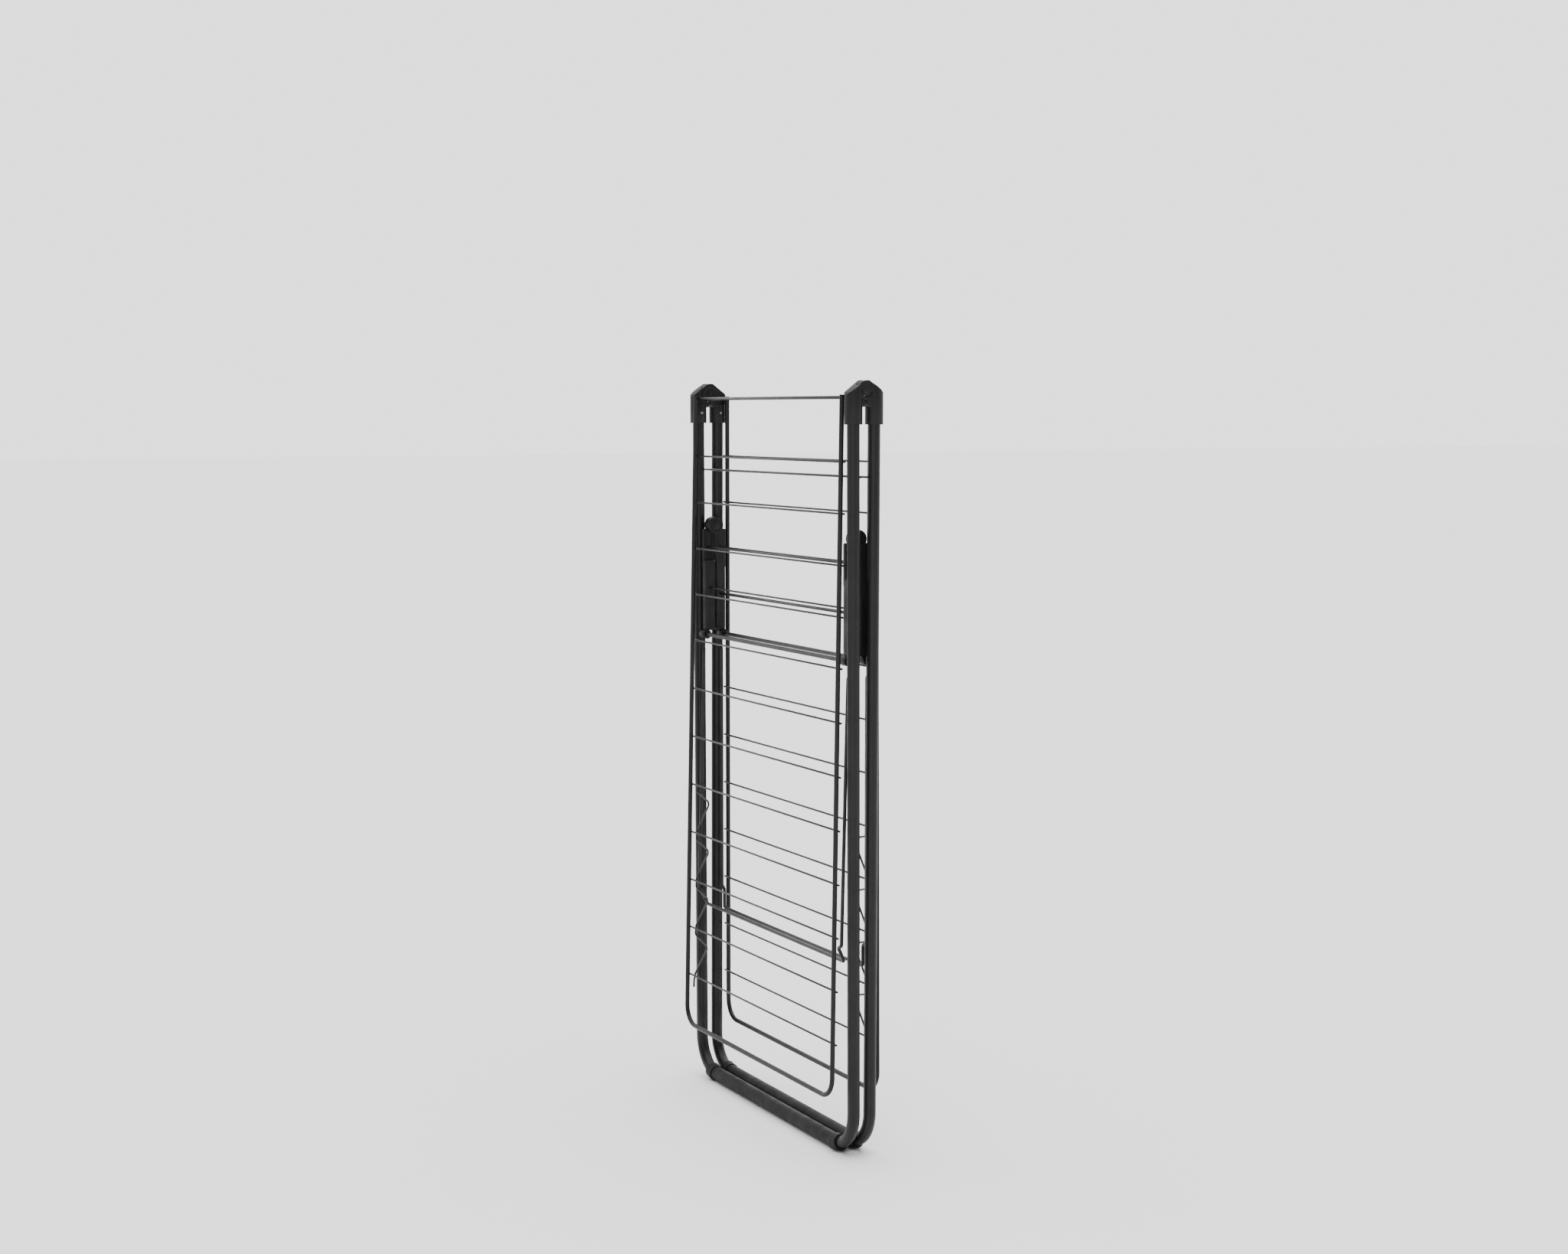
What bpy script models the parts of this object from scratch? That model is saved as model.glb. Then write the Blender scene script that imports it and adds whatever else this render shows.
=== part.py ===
"""Folding clothes drying rack, folded flat and standing on its feet.

Two bent-tube leg frames pivot against each other in the top caps.  A wing with
twelve drying bars hangs on the outside of each leg frame, and folds outwards.
Spreader arms join the leg frames, and a wire stay props each wing.

Metres, +Z up.  +X is the right end, -Y the front, and the origin is under the
middle of the rack, at floor level.
"""
import math

import bmesh
import bpy
from mathutils import Matrix, Vector

# Overall layout
MID_Y = 0.0081            # middle plane between the leg frames
GAP = 0.0003              # clearance between touching pieces
LEG_X = 0.295             # leg tube axes stand at +-LEG_X

# Leg frames
LEG_R = 0.0105
LEG_WALL = 0.0010
LEG_BEND_R = 0.062
LEG_Y_FLOOR = 0.0151      # leg axis from the middle plane at floor level
LEG_SPLAY = 0.0035        # and how much further out per metre of height
LEG_BOTTOM_Z = 0.0139
LEG_TOP_Z = 1.2620
LEG_BAR_Z = 1.142
WIRE_R = 0.00175

# Foot sleeves
SLEEVE_R = 0.0125
SLEEVE_BORE_R = 0.0108
COLLAR_R = 0.0144
COLLAR_LENGTH = 0.021

# Top caps
PIN_Z = 1.2835
CAP_TOP_Z = 1.3000
CAP_HALF_X = 0.0110
SOCKET_R = 0.0150
SOCKET_BOTTOM_Z = 1.2280
SOCKET_BORE_TOP_Z = 1.2640
EAR_R = 0.0162
EAR_CLEARANCE_R = 0.0175
PIN_R = 0.0030
PIN_HEAD_R = 0.0050
PIN_DEPTH = 0.0185
CAP_SCREW_Z = 1.2470
BLOCK_REACH = 0.0200      # the flat-sided part of a cap ends this far out

# Wings
RAIL_R = 0.0041
RAIL_WALL = 0.0009
RAIL_INSET = 0.0160       # rails stand this far inboard of the leg axes at the hinge
RAIL_SPREAD = 0.0055      # and move this much closer per metre further down
RAIL_TOP_Z = 1.2770
RAIL_CORNER_R = 0.035
RAIL_BOTTOM_Z = 0.1048
RAIL_Y_TOP = 0.0320       # rail axis from the middle plane at the hinge
RAIL_LEAN = {-1: 0.01682, 1: 0.0030}
HINGE_Z = 1.2724
HINGE_BAR_R = 0.00265
HINGE_PLUG = 0.0070
BAR_COUNT = 12
BAR_TOP_Z = 1.1670
BAR_PITCH_HIGH = 0.0852   # between the five bars above the arm axle
BAR_PITCH_LOW = 0.0901
BAR_OVERHANG = 0.0030

# Zigzag hanger wire on each wing
ZIGZAG_FIRST_BAR = 8
ZIGZAG_TEETH = 4
ZIGZAG_ROOT_X = 0.2740
ZIGZAG_APEX_X = 0.2200

# Spreader arms
ARM_X0 = LEG_X - 0.0330
ARM_X1 = LEG_X - 0.0150
ARM_Y0 = 0.0010
ARM_Y1 = 0.0205
ARM_BOTTOM_Z = 0.8450
ARM_TOP_Z = 1.0330
ARM_LAP_Z = 0.9750        # above this each arm keeps one half of its thickness
ARM_ROUND = 0.0035
KNUCKLE_Z = 1.0400
KNUCKLE_R = 0.0150
PIVOT_Z = 0.8380
KNOB_R = 0.0084
AXLE_R = 0.00375
ARM_ROD_Y = 0.0110
ARM_ROD_TOP_Z = 0.9990
ARM_ROD_LOW_Z = {-1: 0.9240, 1: 0.9120}

# Wing stays
STAY_R = 0.0030
STAY_PIVOT_Z = 0.8120
STAY_X = LEG_X - 0.0186
STAY_JOG_Z = 0.3610       # the side wires step inwards here
STAY_JOG_Y = {-1: 0.0290, 1: 0.0179}
STAY_LOW_X = LEG_X - 0.0290
STAY_BAR_Y = 0.0180
STAY_BAR_Z = {-1: 0.3310, 1: 0.3200}

SIDES = {"front": -1, "rear": 1}
ENDS = {"left": -1, "right": 1}


def clear_scene():
    for item in list(bpy.data.objects):
        bpy.data.objects.remove(item, do_unlink=True)


def make_collection(name, hidden=False):
    group = bpy.data.collections.new(name)
    bpy.context.scene.collection.children.link(group)
    group.hide_render = hidden
    return group


def make_material(name, colour, roughness, metallic):
    material = bpy.data.materials.new(name)
    material.use_nodes = True
    shader = material.node_tree.nodes["Principled BSDF"]
    shader.inputs["Base Color"].default_value = (*colour, 1.0)
    shader.inputs["Roughness"].default_value = roughness
    shader.inputs["Metallic"].default_value = metallic
    return material


def leg_y(side, z):
    """Leg axis of one frame at height z."""
    return side * (LEG_Y_FLOOR + LEG_SPLAY * z)


def rail_x(z):
    """Wing rail axis from the middle of the rack at height z."""
    return LEG_X - RAIL_INSET + RAIL_SPREAD * (HINGE_Z - z)


def rail_y(side, z):
    """Wing rail axis at height z."""
    return side * (RAIL_Y_TOP + RAIL_LEAN[side] * (HINGE_Z - z))


def bar_y(side, z):
    """Drying bars lie on the rails' inner faces."""
    return rail_y(side, z) - side * (RAIL_R + WIRE_R + GAP)


def hinge_y(side):
    return rail_y(side, HINGE_Z) - side * (RAIL_R + HINGE_BAR_R + GAP)


def arm_half(side, end):
    """X range of the half that an arm keeps near the knuckle."""
    middle = (ARM_X0 + ARM_X1) / 2
    if side == end:
        low, high = middle + GAP / 2, ARM_X1
    else:
        low, high = ARM_X0, middle - GAP / 2
    return low, high


def link_mesh(name, mesh, collection):
    item = bpy.data.objects.new(name, mesh)
    collection.objects.link(item)
    return item


def bake(item):
    """Replace an object's mesh with its evaluated one, modifiers applied."""
    graph = bpy.context.evaluated_depsgraph_get()
    graph.update()
    mesh = bpy.data.meshes.new_from_object(item.evaluated_get(graph))
    item.modifiers.clear()
    item.data = mesh
    mesh.name = item.name
    return item


def weld(mesh):
    work = bmesh.new()
    work.from_mesh(mesh)
    bmesh.ops.remove_doubles(work, verts=work.verts, dist=0.00002)
    bmesh.ops.recalc_face_normals(work, faces=work.faces)
    work.to_mesh(mesh)
    work.free()


def sweep(name, points, radius, resolution, collection, capped=True, scale=None):
    """A round bar along a path, as a mesh object."""
    curve = bpy.data.curves.new(name, "CURVE")
    curve.dimensions = "3D"
    curve.bevel_depth = radius
    curve.bevel_resolution = resolution
    curve.use_fill_caps = capped
    spline = curve.splines.new("POLY")
    spline.points.add(len(points) - 1)
    for index, point in enumerate(points):
        spline.points[index].co = (*point, 1.0)
        if scale:
            spline.points[index].radius = scale[index]
    guide = bpy.data.objects.new(name + "_path", curve)
    collection.objects.link(guide)
    graph = bpy.context.evaluated_depsgraph_get()
    graph.update()
    mesh = bpy.data.meshes.new_from_object(guide.evaluated_get(graph))
    mesh.transform(guide.matrix_world)
    bpy.data.objects.remove(guide, do_unlink=True)
    mesh.name = name
    weld(mesh)
    return link_mesh(name, mesh, collection)


def cylinder(name, start, finish, radius, segments, collection):
    """A solid cylinder between two points."""
    start = Vector(start)
    finish = Vector(finish)
    length = (finish - start).length
    turn = (finish - start).to_track_quat("Z", "Y").to_matrix().to_4x4()
    place = Matrix.Translation((start + finish) / 2) @ turn
    mesh = bpy.data.meshes.new(name)
    work = bmesh.new()
    bmesh.ops.create_cone(
        work, cap_ends=True, segments=segments, radius1=radius, radius2=radius,
        depth=length, matrix=place)
    work.to_mesh(mesh)
    work.free()
    return link_mesh(name, mesh, collection)


def box(name, low, high, collection):
    mesh = bpy.data.meshes.new(name)
    work = bmesh.new()
    centre = (Vector(low) + Vector(high)) / 2
    size = Vector(high) - Vector(low)
    place = Matrix.Translation(centre) @ Matrix.Diagonal((*size, 1.0))
    bmesh.ops.create_cube(work, size=1.0, matrix=place)
    work.to_mesh(mesh)
    work.free()
    return link_mesh(name, mesh, collection)


def plate(name, outline, x_low, x_high, collection, rounding=0.0):
    """A flat outline in Y and Z, given thickness along X."""
    mesh = bpy.data.meshes.new(name)
    work = bmesh.new()
    verts = [work.verts.new((x_low, y, z)) for y, z in outline]
    face = work.faces.new(verts)
    made = bmesh.ops.extrude_face_region(work, geom=[face])
    moved = [item for item in made["geom"] if isinstance(item, bmesh.types.BMVert)]
    bmesh.ops.translate(work, verts=moved, vec=(x_high - x_low, 0.0, 0.0))
    bmesh.ops.recalc_face_normals(work, faces=work.faces)
    if rounding:
        edges = [edge for edge in work.edges if edge.calc_face_angle(0.0) > 0.8]
        bmesh.ops.bevel(work, geom=edges, offset=rounding, segments=2, profile=0.5,
                        affect="EDGES", clamp_overlap=True)
    work.to_mesh(mesh)
    work.free()
    return link_mesh(name, mesh, collection)


def combine(item, tools, operation):
    """Join tools to an object, or cut them out of it."""
    for index, tool in enumerate(tools):
        modifier = item.modifiers.new("%s_%d" % (operation.lower(), index), "BOOLEAN")
        modifier.operation = operation
        modifier.solver = "EXACT"
        modifier.object = tool
        tool.hide_render = True
        tool.display_type = "WIRE"
    bake(item)
    for tool in tools:
        bpy.data.objects.remove(tool, do_unlink=True)
    weld(item.data)
    return item


def rounded_path(corners, radius, steps):
    """Corner points of a path with each inner corner turned into an arc."""
    points = [Vector(corners[0])]
    for before, corner, after in zip(corners, corners[1:], corners[2:]):
        corner = Vector(corner)
        back = (Vector(before) - corner).normalized()
        ahead = (Vector(after) - corner).normalized()
        half = back.angle(ahead) / 2
        reach = radius / math.tan(half)
        centre = corner + (back + ahead).normalized() * (radius / math.sin(half))
        start = corner + back * reach - centre
        finish = corner + ahead * reach - centre
        sweep_angle = start.angle(finish)
        for step in range(steps + 1):
            part = step / steps
            weight_a = math.sin((1 - part) * sweep_angle) / math.sin(sweep_angle)
            weight_b = math.sin(part * sweep_angle) / math.sin(sweep_angle)
            points.append(centre + start * weight_a + finish * weight_b)
    points.append(Vector(corners[-1]))
    return points


def hollow(item, wall):
    """Give an open tube surface a wall, inwards."""
    modifier = item.modifiers.new("wall", "SOLIDIFY")
    modifier.thickness = wall
    modifier.offset = -1.0
    modifier.use_even_offset = True
    return bake(item)


def make_leg(name, side, collection):
    corners = []
    for end, z in ((-1, LEG_TOP_Z), (-1, LEG_BOTTOM_Z), (1, LEG_BOTTOM_Z), (1, LEG_TOP_Z)):
        corners.append((end * LEG_X, leg_y(side, z), z))
    path = rounded_path(corners, LEG_BEND_R, 8)
    tube = sweep(name, path, LEG_R, 6, collection, capped=False)
    return hollow(tube, LEG_WALL)


def make_sleeve(name, side, collection):
    """Plastic sleeve along the floor run, with a thicker collar at each end."""
    turn = math.asin((COLLAR_LENGTH - 0.001) / LEG_BEND_R)
    half = []
    for step in range(6):
        angle = turn * (1 - step / 5)
        x = LEG_X - LEG_BEND_R + LEG_BEND_R * math.sin(angle)
        z = LEG_BOTTOM_Z + LEG_BEND_R * (1 - math.cos(angle))
        half.append((x, z, COLLAR_R / SLEEVE_R))
    straight = LEG_X - LEG_BEND_R
    half.append((straight - 0.0010, LEG_BOTTOM_Z, COLLAR_R / SLEEVE_R))
    half.append((straight - 0.0016, LEG_BOTTOM_Z, 1.0))
    mirrored = [(-x, z, scale) for x, z, scale in reversed(half)]
    run = half + mirrored
    points = [(x, leg_y(side, z), z) for x, z, scale in run]
    scales = [scale for x, z, scale in run]
    sleeve = sweep(name, points, SLEEVE_R, 6, collection, scale=scales)
    first = Vector(points[0]) - Vector(points[1])
    last = Vector(points[-1]) - Vector(points[-2])
    bore = [Vector(points[0]) + first.normalized() * 0.004]
    bore += [Vector(point) for point in points]
    bore.append(Vector(points[-1]) + last.normalized() * 0.004)
    bore_cutter = sweep(name + "_bore", bore, SLEEVE_BORE_R, 6, collection)
    floor_cutter = box(name + "_floor", (-0.4, -0.1, -0.05), (0.4, 0.1, 0.0), collection)
    return combine(sleeve, [bore_cutter, floor_cutter], "DIFFERENCE")


def make_cap(name, side, end, collection):
    """Socket on the leg tube, gabled block above it, and one half-lap ear."""
    outer_ear = side == end
    ear_sign = end if outer_ear else -end
    leg_x = end * LEG_X
    slope = [(0.0050, CAP_TOP_Z), (0.0300, 1.2812), (0.0330, 1.2784), (0.0348, 1.2740)]
    slope = [(side * y, z) for y, z in slope]
    # Flat-sided block over the pivot, and the socket cylinder that runs up to the slope.
    foot = [(side * y, z) for y, z in (
        (BLOCK_REACH, 1.2566), (0.0060, 1.2566), (GAP, 1.2620), (GAP, CAP_TOP_Z))]
    shoulder = [(side * BLOCK_REACH, 1.2885)]
    cap = plate(name, slope[:1] + shoulder + foot, leg_x - CAP_HALF_X, leg_x + CAP_HALF_X,
                collection)
    socket = cylinder(name + "_socket",
                      (leg_x, leg_y(side, SOCKET_BOTTOM_Z), SOCKET_BOTTOM_Z),
                      (leg_x, leg_y(side, CAP_TOP_Z), CAP_TOP_Z), SOCKET_R, 32, collection)
    keep = slope + [(side * 0.0348, 1.2200), (side * 0.0030, 1.2200), (side * 0.0030, CAP_TOP_Z)]
    keep = plate(name + "_keep", keep, leg_x - 0.02, leg_x + 0.02, collection)
    combine(socket, [keep], "INTERSECT")
    # Flat on the inside above the socket, where the wing rail's end swings past.
    flat_x = sorted((leg_x - end * 0.02, leg_x - end * CAP_HALF_X))
    flat = box(name + "_flat", (flat_x[0], -0.05, 1.2620), (flat_x[1], 0.05, 1.31), collection)
    combine(socket, [flat], "DIFFERENCE")
    combine(cap, [socket], "UNION")
    # The opposite cap's ear turns in a round recess.
    recess_edge = leg_x + ear_sign * GAP / 2
    recess_far = leg_x - ear_sign * (CAP_HALF_X + 0.002)
    recess = cylinder(name + "_recess", (recess_edge, 0, PIN_Z), (recess_far, 0, PIN_Z),
                      EAR_CLEARANCE_R, 48, collection)
    combine(cap, [recess], "DIFFERENCE")
    ear = cylinder(name + "_ear", (recess_edge, 0, PIN_Z),
                   (leg_x + ear_sign * CAP_HALF_X, 0, PIN_Z), EAR_R, 48, collection)
    combine(cap, [ear], "UNION")
    cutters = [cylinder(name + "_bore", (leg_x, leg_y(side, 1.20), 1.20),
                        (leg_x, leg_y(side, SOCKET_BORE_TOP_Z), SOCKET_BORE_TOP_Z),
                        LEG_R + GAP, 32, collection)]
    inner_x = leg_x - end * CAP_HALF_X
    pin_end = inner_x + end * (PIN_DEPTH + GAP)
    cutters.append(cylinder(name + "_pin", (inner_x - end * 0.004, 0, PIN_Z),
                            (pin_end, 0, PIN_Z), PIN_R + GAP, 24, collection))
    hinge_end = inner_x + end * (HINGE_PLUG + 0.001)
    cutters.append(cylinder(name + "_hinge", (inner_x - end * 0.004, hinge_y(side), HINGE_Z),
                            (hinge_end, hinge_y(side), HINGE_Z),
                            HINGE_BAR_R + GAP, 16, collection))
    screw_y = leg_y(side, CAP_SCREW_Z)
    cutters.append(cylinder(name + "_screw", (leg_x - end * 0.020, screw_y, CAP_SCREW_Z),
                            (leg_x - end * 0.008, screw_y, CAP_SCREW_Z),
                            0.0018, 12, collection))
    return combine(cap, cutters, "DIFFERENCE")


def make_pin(name, x_face, direction, y, z, length, collection):
    """A pin with a round head, its head lying outside the face at x_face."""
    head_x = x_face - direction * GAP
    pin = cylinder(name, (head_x - direction * 0.0012, y, z), (head_x, y, z),
                   PIN_HEAD_R, 24, collection)
    shank = cylinder(name + "_shank", (head_x - direction * 0.0006, y, z),
                     (x_face + direction * length, y, z), PIN_R, 24, collection)
    return combine(pin, [shank], "UNION")


def make_screw(name, side, end, collection):
    """Pan-head screw that holds a cap on its leg tube."""
    y = leg_y(side, CAP_SCREW_Z)
    face = end * (LEG_X - SOCKET_R - GAP)
    head = cylinder(name, (face - end * 0.0014, y, CAP_SCREW_Z), (face, y, CAP_SCREW_Z),
                    0.0026, 20, collection)
    shank = cylinder(name + "_shank", (face - end * 0.0007, y, CAP_SCREW_Z),
                     (face + end * 0.0042, y, CAP_SCREW_Z), 0.0015, 12, collection)
    return combine(head, [shank], "UNION")


def make_wing_frame(name, side, collection):
    corners = []
    for end, z in ((-1, RAIL_TOP_Z), (-1, RAIL_BOTTOM_Z), (1, RAIL_BOTTOM_Z), (1, RAIL_TOP_Z)):
        corners.append((end * rail_x(z), rail_y(side, z), z))
    path = rounded_path(corners, RAIL_CORNER_R, 6)
    tube = sweep(name, path, RAIL_R, 4, collection, capped=False)
    return hollow(tube, RAIL_WALL)


def bar_z(index):
    """Height of a wing's drying bar, counted from 1 at the top."""
    gaps = index - 1
    high = min(gaps, 4)
    return BAR_TOP_Z - high * BAR_PITCH_HIGH - (gaps - high) * BAR_PITCH_LOW


def make_zigzag(name, side, end, collection):
    """Saw-toothed hanger wire behind the lower bars at one end of a wing."""
    lift = WIRE_R * 2 + GAP
    corners = [(ZIGZAG_ROOT_X, bar_z(ZIGZAG_FIRST_BAR) + 0.0015)]
    for tooth in range(ZIGZAG_TEETH):
        z = bar_z(ZIGZAG_FIRST_BAR + tooth)
        corners.append((ZIGZAG_ROOT_X, z - 0.0130))
        corners.append((ZIGZAG_APEX_X, z - 0.0270))
        corners.append((ZIGZAG_ROOT_X - 0.0020, z - BAR_PITCH_LOW + 0.0040))
    corners.append((ZIGZAG_ROOT_X + 0.0040, z - BAR_PITCH_LOW - 0.0130))
    corners.append((ZIGZAG_ROOT_X + 0.0040, z - BAR_PITCH_LOW - 0.0240))
    places = [(end * x, bar_y(side, z) - side * lift, z) for x, z in corners]
    return sweep(name, rounded_path(places, 0.0055, 2), WIRE_R, 2, collection)


def make_stay(name, side, collection):
    """U-shaped wire with stubs turned out to the leg tubes and a jog above its crossbar."""
    top_y = leg_y(side, STAY_PIVOT_Z)
    jog_y = side * STAY_JOG_Y[side]
    half = [
        (LEG_X - LEG_R - GAP, top_y, STAY_PIVOT_Z), (STAY_X, top_y, STAY_PIVOT_Z),
        (STAY_X, jog_y, STAY_JOG_Z), (STAY_LOW_X, jog_y, STAY_JOG_Z - 0.0060),
        (STAY_LOW_X, side * STAY_BAR_Y, STAY_BAR_Z[side])]
    corners = [(-x, y, z) for x, y, z in half] + half[::-1]
    return sweep(name, rounded_path(corners, 0.0050, 3), STAY_R, 4, collection)


def make_arm(name, side, end, collection):
    """Moulded spreader arm: knob at the leg, half-lapped knuckle at the top."""
    half_low, half_high = arm_half(side, end)
    spans = {"full": sorted((end * ARM_X0, end * ARM_X1)),
             "half": sorted((end * half_low, end * half_high))}
    low = [(ARM_Y0, ARM_BOTTOM_Z), (ARM_Y1, ARM_BOTTOM_Z), (ARM_Y1, ARM_LAP_Z),
           (ARM_Y0, ARM_LAP_Z)]
    low = [(side * y, z) for y, z in low]
    arm = plate(name, low, *spans["full"], collection, rounding=ARM_ROUND)
    high = [(ARM_Y0, ARM_LAP_Z - 0.012), (ARM_Y1, ARM_LAP_Z - 0.012), (ARM_Y1, ARM_TOP_Z),
            (ARM_Y0, ARM_TOP_Z)]
    high = [(side * y, z) for y, z in high]
    upper = plate(name + "_upper", high, *spans["half"], collection, rounding=0.002)
    pivot_y = leg_y(side, PIVOT_Z)
    knob = cylinder(name + "_knob", (spans["full"][0], pivot_y, PIVOT_Z),
                    (spans["full"][1], pivot_y, PIVOT_Z), KNOB_R, 32, collection)
    disc = cylinder(name + "_disc", (spans["half"][0], 0, KNUCKLE_Z),
                    (spans["half"][1], 0, KNUCKLE_Z), KNUCKLE_R, 40, collection)
    combine(arm, [upper, knob, disc], "UNION")
    cutters = [cylinder(name + "_axle", (end * 0.25, pivot_y, PIVOT_Z),
                        (end * 0.29, pivot_y, PIVOT_Z), AXLE_R + GAP, 24, collection)]
    for z, depth_x in ((ARM_ROD_TOP_Z, half_high - 0.0015),
                       (ARM_ROD_LOW_Z[side], ARM_X0 + 0.009)):
        cutters.append(cylinder(name + "_rod", (end * 0.25, side * ARM_ROD_Y, z),
                                (end * depth_x, side * ARM_ROD_Y, z),
                                WIRE_R + GAP, 12, collection))
    if side > 0:
        cutters.append(cylinder(name + "_pin", (end * 0.25, 0, KNUCKLE_Z),
                                (end * 0.29, 0, KNUCKLE_Z), PIN_R + GAP, 24, collection))
    return combine(arm, cutters, "DIFFERENCE")


def make_arm_rod(name, side, z, collection):
    ends = []
    for end in (-1, 1):
        depth_x = arm_half(side, end)[1] - 0.0018 if z == ARM_ROD_TOP_Z else ARM_X0 + 0.0087
        ends.append((end * depth_x, side * ARM_ROD_Y, z))
    return sweep(name, ends, WIRE_R, 2, collection)


def build():
    clear_scene()
    rack = make_collection("folding_drying_rack")
    paint = make_material("black_powder_coat", (0.022, 0.022, 0.023), 0.42, 0.0)
    wire_paint = make_material("black_wire_coat", (0.030, 0.030, 0.031), 0.36, 0.0)
    plastic = make_material("black_moulded_plastic", (0.020, 0.020, 0.021), 0.55, 0.0)
    foot = make_material("black_foot_plastic", (0.014, 0.014, 0.015), 0.62, 0.0)
    zinc = make_material("zinc_plated_steel", (0.66, 0.66, 0.67), 0.30, 1.0)
    steel = make_material("dark_steel", (0.10, 0.10, 0.105), 0.35, 1.0)
    bodies = {}

    def add(body, item, material):
        item.data.materials.clear()
        item.data.materials.append(material)
        item.data.shade_smooth()
        item.data.set_sharp_from_angle(angle=math.radians(35))
        bodies.setdefault(body, []).append(item)

    leg_end = LEG_X - LEG_R - GAP
    for word, side in SIDES.items():
        leg = word + "_leg"
        add(leg, make_leg(leg + "_tube", side, rack), paint)
        add(leg, make_sleeve(leg + "_foot_sleeve", side, rack), foot)
        y = leg_y(side, LEG_BAR_Z) - side * (LEG_R + WIRE_R + GAP)
        ends = [(-LEG_X - 0.003, y, LEG_BAR_Z), (LEG_X + 0.003, y, LEG_BAR_Z)]
        add(leg, sweep(leg + "_crossbar", ends, WIRE_R, 2, rack), wire_paint)
        y = leg_y(side, PIVOT_Z)
        ends = [(-leg_end, y, PIVOT_Z), (leg_end, y, PIVOT_Z)]
        add(leg, sweep(leg + "_arm_axle", ends, AXLE_R, 4, rack), wire_paint)
        for end_word, end in ENDS.items():
            label = "%s_%s_" % (word, end_word)
            add(leg, make_cap(label + "cap", side, end, rack), plastic)
            add(leg, make_screw(label + "cap_screw", side, end, rack), zinc)

        arms = word + "_arms"
        for end_word, end in ENDS.items():
            label = "%s_%s_arm" % (word, end_word)
            add(arms, make_arm(label, side, end, rack), plastic)
        add(arms, make_arm_rod(word + "_arms_upper_rod", side, ARM_ROD_TOP_Z, rack), wire_paint)
        add(arms, make_arm_rod(word + "_arms_lower_rod", side, ARM_ROD_LOW_Z[side], rack),
            wire_paint)

        wing = word + "_wing"
        add(wing, make_wing_frame(wing + "_frame", side, rack), paint)
        plug_x = LEG_X - CAP_HALF_X + HINGE_PLUG
        ends = [(-plug_x, hinge_y(side), HINGE_Z), (plug_x, hinge_y(side), HINGE_Z)]
        add(wing, sweep(wing + "_hinge_bar", ends, HINGE_BAR_R, 2, rack), wire_paint)
        for index in range(1, BAR_COUNT + 1):
            z = bar_z(index)
            bar_x = rail_x(z) + BAR_OVERHANG
            ends = [(-bar_x, bar_y(side, z), z), (bar_x, bar_y(side, z), z)]
            add(wing, sweep("%s_bar_%02d" % (wing, index), ends, WIRE_R, 2, rack), wire_paint)
        add(wing, make_zigzag(wing + "_zigzag", side, side, rack), wire_paint)
        add(word + "_stay", make_stay(word + "_stay_wire", side, rack), wire_paint)

    for end_word, end in ENDS.items():
        face = end * (LEG_X - CAP_HALF_X)
        add("front_leg", make_pin(end_word + "_apex_pin", face, end, 0, PIN_Z, PIN_DEPTH, rack),
            steel)
        low, high = arm_half(1, end)
        if end == 1:
            pin = make_pin(end_word + "_knuckle_pin", high, -1, 0, KNUCKLE_Z, 0.0082, rack)
        else:
            pin = make_pin(end_word + "_knuckle_pin", -low, -1, 0, KNUCKLE_Z, 0.0082, rack)
        add("rear_arms", pin, steel)

    # Every moving body hangs on an empty that stands on its joint's axis.
    axes = {
        "front_leg": (0.0, 0.0, 0.0),
        "rear_leg": (0.0, 0.0, PIN_Z),
        "front_arms": (0.0, leg_y(-1, PIVOT_Z), PIVOT_Z),
        "rear_arms": (0.0, leg_y(1, PIVOT_Z), PIVOT_Z),
        "front_wing": (0.0, hinge_y(-1), HINGE_Z),
        "rear_wing": (0.0, hinge_y(1), HINGE_Z),
        "front_stay": (0.0, leg_y(-1, STAY_PIVOT_Z), STAY_PIVOT_Z),
        "rear_stay": (0.0, leg_y(1, STAY_PIVOT_Z), STAY_PIVOT_Z)}
    for body, place in axes.items():
        pivot = bpy.data.objects.new(body + "_pivot", None)
        pivot.location = (place[0], place[1] + MID_Y, place[2])
        pivot.empty_display_size = 0.03
        rack.objects.link(pivot)
        for item in bodies[body]:
            item.parent = pivot
            item.location = (-place[0], -place[1], -place[2])


build()
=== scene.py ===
"""Looks of the folding clothes drying rack.

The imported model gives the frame: its bodies, its boxes and its materials.  The
pieces made here stand in the same places, with round sections, moulded edges
and welds, and each one rides on the body that it belongs to.
"""
import math

import bmesh
import bpy
from mathutils import Matrix, Quaternion, Vector


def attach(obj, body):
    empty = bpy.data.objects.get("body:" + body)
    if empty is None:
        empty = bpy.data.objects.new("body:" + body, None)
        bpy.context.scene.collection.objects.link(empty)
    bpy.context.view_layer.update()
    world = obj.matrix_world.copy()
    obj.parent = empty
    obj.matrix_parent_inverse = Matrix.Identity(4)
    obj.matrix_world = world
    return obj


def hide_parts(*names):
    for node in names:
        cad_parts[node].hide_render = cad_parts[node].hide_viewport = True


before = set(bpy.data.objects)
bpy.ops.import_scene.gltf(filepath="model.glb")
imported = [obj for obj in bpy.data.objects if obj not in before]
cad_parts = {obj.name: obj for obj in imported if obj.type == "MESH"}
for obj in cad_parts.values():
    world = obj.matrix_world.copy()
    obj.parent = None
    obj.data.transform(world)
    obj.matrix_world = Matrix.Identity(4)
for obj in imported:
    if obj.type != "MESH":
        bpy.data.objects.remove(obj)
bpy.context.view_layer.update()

MID_Y = 0.0081
LEG_X = 0.295
LEG_R = 0.0105
LEG_BEND_R = 0.062
LEG_STANCE = 0.0151
LEG_LEAN = 0.0035
LEG_BOTTOM_Z = 0.0139
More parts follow.
